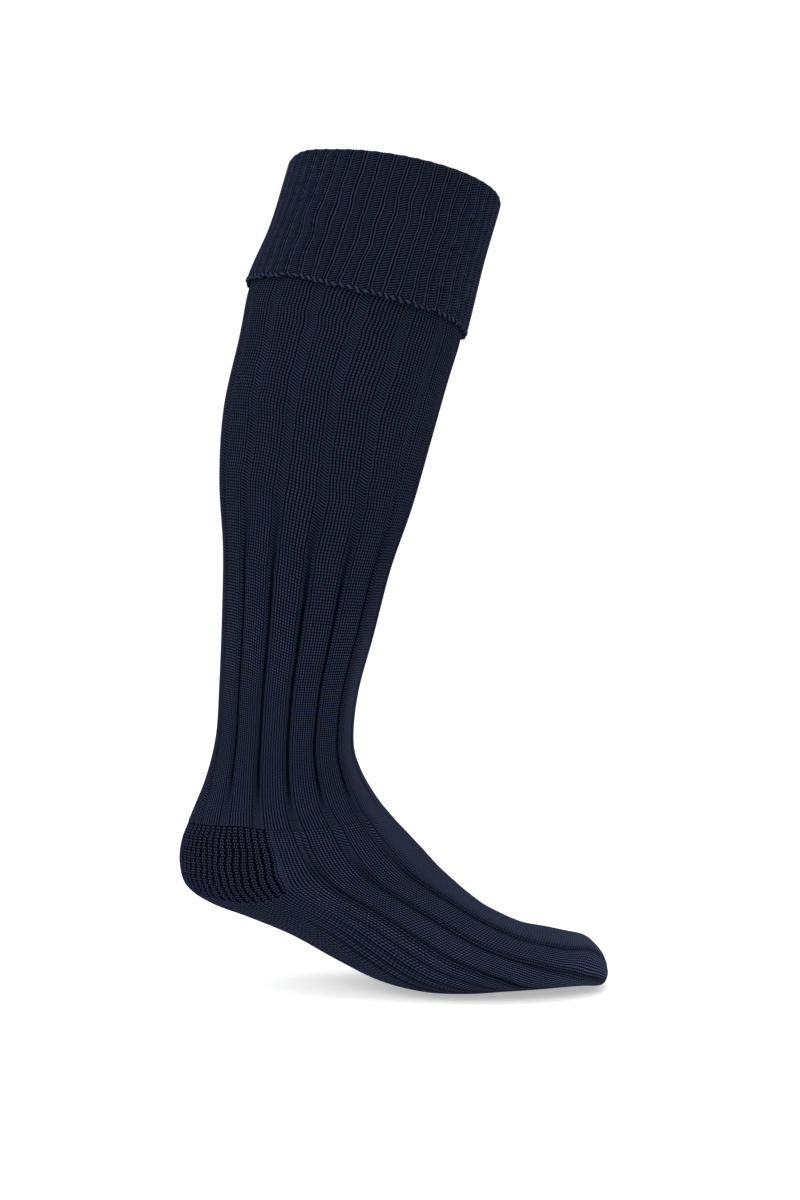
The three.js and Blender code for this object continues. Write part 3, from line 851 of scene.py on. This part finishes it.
def purlLadderGroup():
    # rows of slanting bars, one a course, with slots between them that are low in the bump and
    # darkened with painted shade, and that deepen at the edges
    tree, w, given, out = newGroup("purlLadder", [
        ("Stitches", "NodeSocketVector", None), ("Slant", "NodeSocketFloat", 0.3),
        ("Edge", "NodeSocketFloat", 0.5),
    ], [("Height", "NodeSocketFloat"), ("Light", "NodeSocketFloat")])
    u, v = w.parts(given["Stitches"])
    bar = w.line(w.apart(w.line(u, given["Slant"], v)), -2.0, 1.0)
    slot = w.times(w.ease(bar, 0.3, 0.9, 1.0, 0.0), w.mix(given["Edge"], 0.85, 1.0))
    raised = w.minus(1.0, slot)
    w.feed(out["Height"], raised)
    w.feed(out["Light"], raised)
    return tree


def yarnToneGroup():
    # how light the yarn is: slow drifts over the knitting and fine specks of loose fibre
    tree, w, given, out = newGroup("yarnTone", [
        ("Drift", "NodeSocketFloat", 0.25), ("Fleck", "NodeSocketFloat", 0.5),
    ], [("Tone", "NodeSocketFloat"), ("Fibre", "NodeSocketFloat")])
    place = w.node("ShaderNodeTexCoord").outputs["Object"]
    slow = w.node("ShaderNodeTexNoise", place, None, 28.0, 3.0).outputs[0]
    fine = w.node("ShaderNodeTexNoise", place, None, 1100.0, 2.0).outputs[0]
    drift = w.times(w.minus(slow, 0.5), given["Drift"])
    fleck = w.times(w.minus(fine, 0.5), given["Fleck"])
    w.feed(out["Tone"], w.math("ADD", 1.0, w.math("ADD", drift, fleck)))
    w.feed(out["Fibre"], fine)
    return tree


unevenStitches = unevenStitchesGroup()
knitStitch = knitStitchGroup()
purlLadder = purlLadderGroup()
yarnTone = yarnToneGroup()

yarn = dict(
    # linear colours of the lit yarn and of the painted shade in the gaps between stitches
    light=(0.0228, 0.0288, 0.0560), paintedShade=(0.0009, 0.0012, 0.0038),
    fuzz=0.25,            # height of the loose fibre beside that of a stitch
    bump={"Strength": 0.7, "Distance": 0.0004},
    shader={"Roughness": 0.9, "Specular IOR Level": 0.01, "Sheen Weight": 0.015,
            "Sheen Roughness": 0.5, "Sheen Tint": (0.5, 0.6, 0.8, 1)},
)


def knitMaterial(name, pattern, uneven=0.3):
    # pattern wires the stitches from a place's two numbers on the stitch map, and gives back
    # the height and how light each place is, which is painted light and shade on the stitches
    material = bpy.data.materials.new(name)
    material.use_nodes = True
    tree = material.node_tree
    w = Wires(tree)
    shader = tree.nodes["Principled BSDF"]
    even = w.node("ShaderNodeUVMap", uv_map="stitches").outputs[0]
    stitches = w.group(unevenStitches, Stitches=even, Amount=uneven)["Stitches"]
    height, light = pattern(w, *w.parts(stitches))
    tone = w.group(yarnTone)
    lit = w.times(light, tone["Tone"])
    # the colour runs from the painted shade between stitches to the lit yarn
    w.feed(shader.inputs["Base Color"], w.mixColour(lit, yarn["paintedShade"], yarn["light"]))
    bump = w.node("ShaderNodeBump")
    setSockets(bump, yarn["bump"])
    w.feed(bump.inputs["Height"], w.line(tone["Fibre"], yarn["fuzz"], height))
    w.feed(shader.inputs["Normal"], bump.outputs[0])
    setSockets(shader, yarn["shader"])
    return material


# How the wide-ribbed and the plain knitting change from course to course. Each has a first
# number, and then the later ones that it eases over to: (from course, to course, number).
alongCourses = dict(
    channelHalf=(1.15, (100, 150, 1.05), (225, 258, 1.35), (264, 292, 0.55)),    # in wales
    # how dark the painted shade in a channel's sunk middle is
    channelPaintedShade=(0.0, (100, 145, 1.0), (225, 250, 0.4), (266, 294, 0.9)),
    channelLight=(0.85, (100, 150, 1.15)),
    twist=(0.2, (90, 140, 1.0)),
    dips=(0.5, (110, 160, 0.7), (215, 245, 0.6), (280, 310, 0.5)),    # between two stitches
    # paler down the leg; on the foot and toe this is painted light
    paleAndPaintedLight=(0.86, (110, 170, 1.37), (303, 345, 1.47), (345, 385, 2.5)),
)


def channelled(w, u, v, fromChannel):
    # knit wales, and purl channels that are wide and as light as they are on the calf, tight and
    # darkened with painted shade on the shin, wide again round the ankle and thin lines of painted
    # shade on the foot. v counts the courses, and fromChannel is how many wales away the nearest
    # channel is.
    a = alongCourses
    half, paintedShade = w.along(v, *a["channelHalf"]), w.along(v, *a["channelPaintedShade"])
    # the wale on each side of a channel is twisted on the shin and ankle, and its stitches slant
    beyond = w.minus(fromChannel, half)
    twisted = w.times(w.ease(beyond, 0.9, 1.3, 1.0, 0.0), w.along(v, *a["twist"]))
    knit = w.group(knitStitch, Stitches=w.pair(u, v), Slant=w.mix(twisted, 0.4, 1.5), Split=0.15,
                   Courses=w.mix(twisted, w.along(v, *a["dips"]), 0.95))
    # the bars of the purl columns are half as far apart again round the ankle, from course 225
    # to 272, and sixteen bars behind from there on
    bars = w.math("MAXIMUM", w.math("MINIMUM", v, w.line(v, 0.66, 76.5)), w.minus(v, 16.0))
    ladder = w.group(purlLadder, Stitches=w.pair(u, bars), Slant=0.5,
                     Edge=w.ease(fromChannel, 0.2, 1.2))
    purl = w.ease(beyond, -0.15, 0.25, 1.0, 0.0)
    # the middle of a channel, darkened with painted shade
    core = w.ease(w.math("DIVIDE", fromChannel, half), 0.45, 1.05, -1.0, 0.0)
    height = w.mix(purl, knit["Height"], w.times(ladder["Height"], 0.7))
    # on the foot the painted shade of a channel is broken into beads
    beads = w.times(w.ease(w.apart(bars), 0.1, 0.45), w.ease(v, 250.0, 290.0, 0.1, 0.55))
    paintedShade = w.times(paintedShade, w.minus(1.0, beads))
    kept = w.times(w.along(v, *a["channelLight"]), w.line(paintedShade, core, 1.0))
    return height, w.mix(purl, knit["Light"], w.times(ladder["Light"], kept))


def paleAndPaintedLight(w, v, light):
    # the knitting is made paler down the leg, and most of all towards the toe; on the foot and
    # toe this is painted light, where the lamps from above leave the knitting darker
    return w.times(light, w.along(v, *alongCourses["paleAndPaintedLight"]))


def wideRibPattern(w, u, v):
    wales = float(form["walesPerRib"])
    fromChannel = w.times(w.apart(w.math("DIVIDE", u, wales)), wales)
    # the two channels down the front do not show on the foot, and the next two are bolder there
    side = w.math("ABSOLUTE", u)
    front = w.times(w.ease(side, wales * 0.9, wales, 1.0, 0.0), w.ease(v, 225.0, 265.0))
    bold = w.times(w.ease(side, 20.0, 21.0, 1.0, 0.0), w.ease(v, 262.0, 290.0))
    fromChannel = w.line(bold, -0.15, w.line(front, 3.15, fromChannel))
    height, light = channelled(w, u, v, fromChannel)
    # the panel down the front is smoother and more even in its light from the shin on: painted
    # sheen, drawn towards one paler value
    frontSheen = w.times(w.ease(side, 11.0, 17.0, 0.45, 0.0), w.ease(v, 120.0, 180.0))
    return height, paleAndPaintedLight(w, v, w.mix(frontSheen, light, 0.72))


def solePattern(w, u, v):
    # plain, but for the channel along the instep and a few purl lines that start at the arch
    p = plainKnit
    first = float(p["mapStart"])
    near = w.math("MINIMUM", w.minus(u, first), w.minus(first + soleWales, u))
    # under the foot, past the gusset's wales, the stitches are wider and stand out less
    wide = w.math("MINIMUM", near, w.line(near, 0.62, 0.38 * p["gussetWales"]))
    height, light = channelled(w, wide, v, near)
    light = w.mix(w.ease(near, 7.0, 12.0, 0.0, 0.3), light, 0.2)
    # four lines, on every fifth wale from the sixth on
    row = w.math("DIVIDE", w.minus(near, p["linesFrom"]), p["linesApart"])
    lines = w.times(w.ease(w.apart(row), 0.04, 0.17, 1.0, 0.0),
                    w.times(w.ease(row, -0.85, -0.75), w.ease(row, 2.75, 2.85, 1.0, 0.0)))
    beads = w.ease(w.apart(v), 0.1, 0.45, 1.0, 0.6)
    lines = w.times(lines, beads, w.ease(v, 298.0, 318.0))
    # the lines lie low in the bump and are darkened with painted shade
    kept = w.line(lines, -0.8, 1.0)
    return w.times(height, kept), paleAndPaintedLight(w, v, w.times(light, kept))


def slantedBar(w, u, v):
    # one slanting stitch a course, from 0.25 between two of them to 1 on each
    return w.ease(w.apart(w.line(u, 2.0, v)), 0.1, 0.45, 1.0, 0.25)


def heelPattern(w, u, v):
    # one zigzag chain of stitches on each rib, and painted shade in the grooves between the ribs
    zigzag = w.line(w.apart(w.times(v, 0.5)), 0.28, u)
    knit = w.group(knitStitch, Stitches=w.pair(zigzag, v), Slant=0.9, Split=0.5, Courses=0.8)
    # the grooves deepen below the leg, and inwards from the pocket's two front edges, and their
    # painted shade darkens with them
    inwards = w.math("MINIMUM", u, w.minus(float(heelRib["ribs"]), u))
    grooveShade = w.times(w.ease(v, 0.0, 10.0, 0.15, 0.95), w.ease(inwards, 0.5, 4.0, 0.4, 1.0))
    grooveShade = w.times(grooveShade, w.ease(w.apart(zigzag), w.ease(inwards, 1.0, 4.5, 0.36, 0.2),
                                w.ease(inwards, 1.0, 4.5, 0.49, 0.42)))
    light = w.times(knit["Light"], w.line(grooveShade, -1.35, 1.35))
    # the first few tenths of a rib by an edge are no groove
    edge = w.ease(inwards, 0.12, 0.3)
    plain = w.times(slantedBar(w, u, v), 0.9)
    return w.mix(edge, 0.6, knit["Height"]), w.mix(edge, plain, light)


def cuffPattern(w, u, v):
    # a knit wale seen as two bright lines with painted shade in the groove between them, then a
    # ladder of bars
    fromWale = w.apart(w.math("ADD", u, 0.5))
    line = w.ease(w.math("ABSOLUTE", w.minus(fromWale, 0.115)), 0.03, 0.08, 1.0, 0.0)
    zone = w.ease(fromWale, 0.18, 0.24)
    ladder = w.group(purlLadder, Stitches=w.pair(w.math("FRACT", u), v), Slant=2.2,
                     Edge=w.ease(fromWale, 0.2, 0.5, 1.0, 0.0))
    height = w.mix(zone, line, ladder["Height"])
    light = w.mix(zone, w.times(line, 0.76), w.times(ladder["Light"], 0.66))
    # the knotted cord has the map below 0 to itself: two strands, painted shade between them
    cord = w.ease(v, -0.8, -0.6, 1.0, 0.0)
    strand = w.ease(w.apart(w.line(u, float(cuff["knotsPerRib"]), v)), 0.12, 0.42, 1.0, 0.0)
    return w.mix(cord, height, strand), w.mix(cord, light, w.times(strand, 0.9))


ribbedKnit = knitMaterial("wideRibKnit", wideRibPattern)
legPiece(ribbedKnit)
instepPiece(ribbedKnit)
solePiece(knitMaterial("plainKnit", solePattern))
heelPiece(knitMaterial("heelRibKnit", heelPattern, uneven=0.2))
cuffPiece(knitMaterial("cuffRibKnit", cuffPattern, uneven=0.12))


# Floor, light and camera

studio = dict(
    cameraX=0.00377, cameraBack=0.9, cameraZ=-0.23867, lens=46.55,
    sky=1.08, floorSize=60, floorGap=0.0003,
    # a little light of the floor's own keeps the shadow under the foot faint
    floor={"Base Color": (0.8, 0.8, 0.8, 1), "Roughness": 0.9, "Specular IOR Level": 0,
           "Emission Color": (1, 1, 1, 1), "Emission Strength": 0.4},
    # name, place, size and power of each lamp, and the middle of the sock, which they face
    lamps=[("keyLight", (-0.9, -1.6, 0.9), 1.2, 14), ("topLight", (0.3, 0.2, 1.6), 1.5, 8)],
    aim=(0, 0, -0.25),
)


def lightStudio():
    s = studio
    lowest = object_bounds()[0].z
    bpy.ops.mesh.primitive_plane_add(size=s["floorSize"], location=(0, 0, lowest - s["floorGap"]))
    floor = bpy.context.object
    floor.name = "floor"
    paint = bpy.data.materials.new("floorPaint")
    paint.use_nodes = True
    setSockets(paint.node_tree.nodes["Principled BSDF"], s["floor"])
    floor.data.materials.append(paint)
    world = bpy.data.worlds.new("softSky")
    world.use_nodes = True
    setSockets(world.node_tree.nodes["Background"], {"Color": (1, 1, 1, 1), "Strength": s["sky"]})
    bpy.context.scene.world = world
    for name, place, size, power in s["lamps"]:
        lamp = bpy.data.lights.new(name, "AREA")
        lamp.size, lamp.energy = size, power
        light = bpy.data.objects.new(name, lamp)
        light.location = place
        # a lamp shines along its own -Z
        aim = np.array(s["aim"]) - np.array(place)
        light.rotation_euler = (np.arctan2(np.hypot(aim[0], aim[1]), -aim[2]), 0,
                                np.arctan2(-aim[0], aim[1]))
        bpy.context.scene.collection.objects.link(light)
    print("floor and lights set")


def placeCamera():
    s = studio
    camera = bpy.data.cameras.new("camera")
    camera.sensor_width, camera.lens = 36, s["lens"]
    holder = bpy.data.objects.new("camera", camera)
    holder.location = (s["cameraX"], -s["cameraBack"], s["cameraZ"])
    holder.rotation_euler = (np.pi / 2, 0, 0)
    bpy.context.scene.collection.objects.link(holder)
    bpy.context.scene.camera = holder


lightStudio()
placeCamera()
bpy.context.scene.view_settings.view_transform = "Standard"
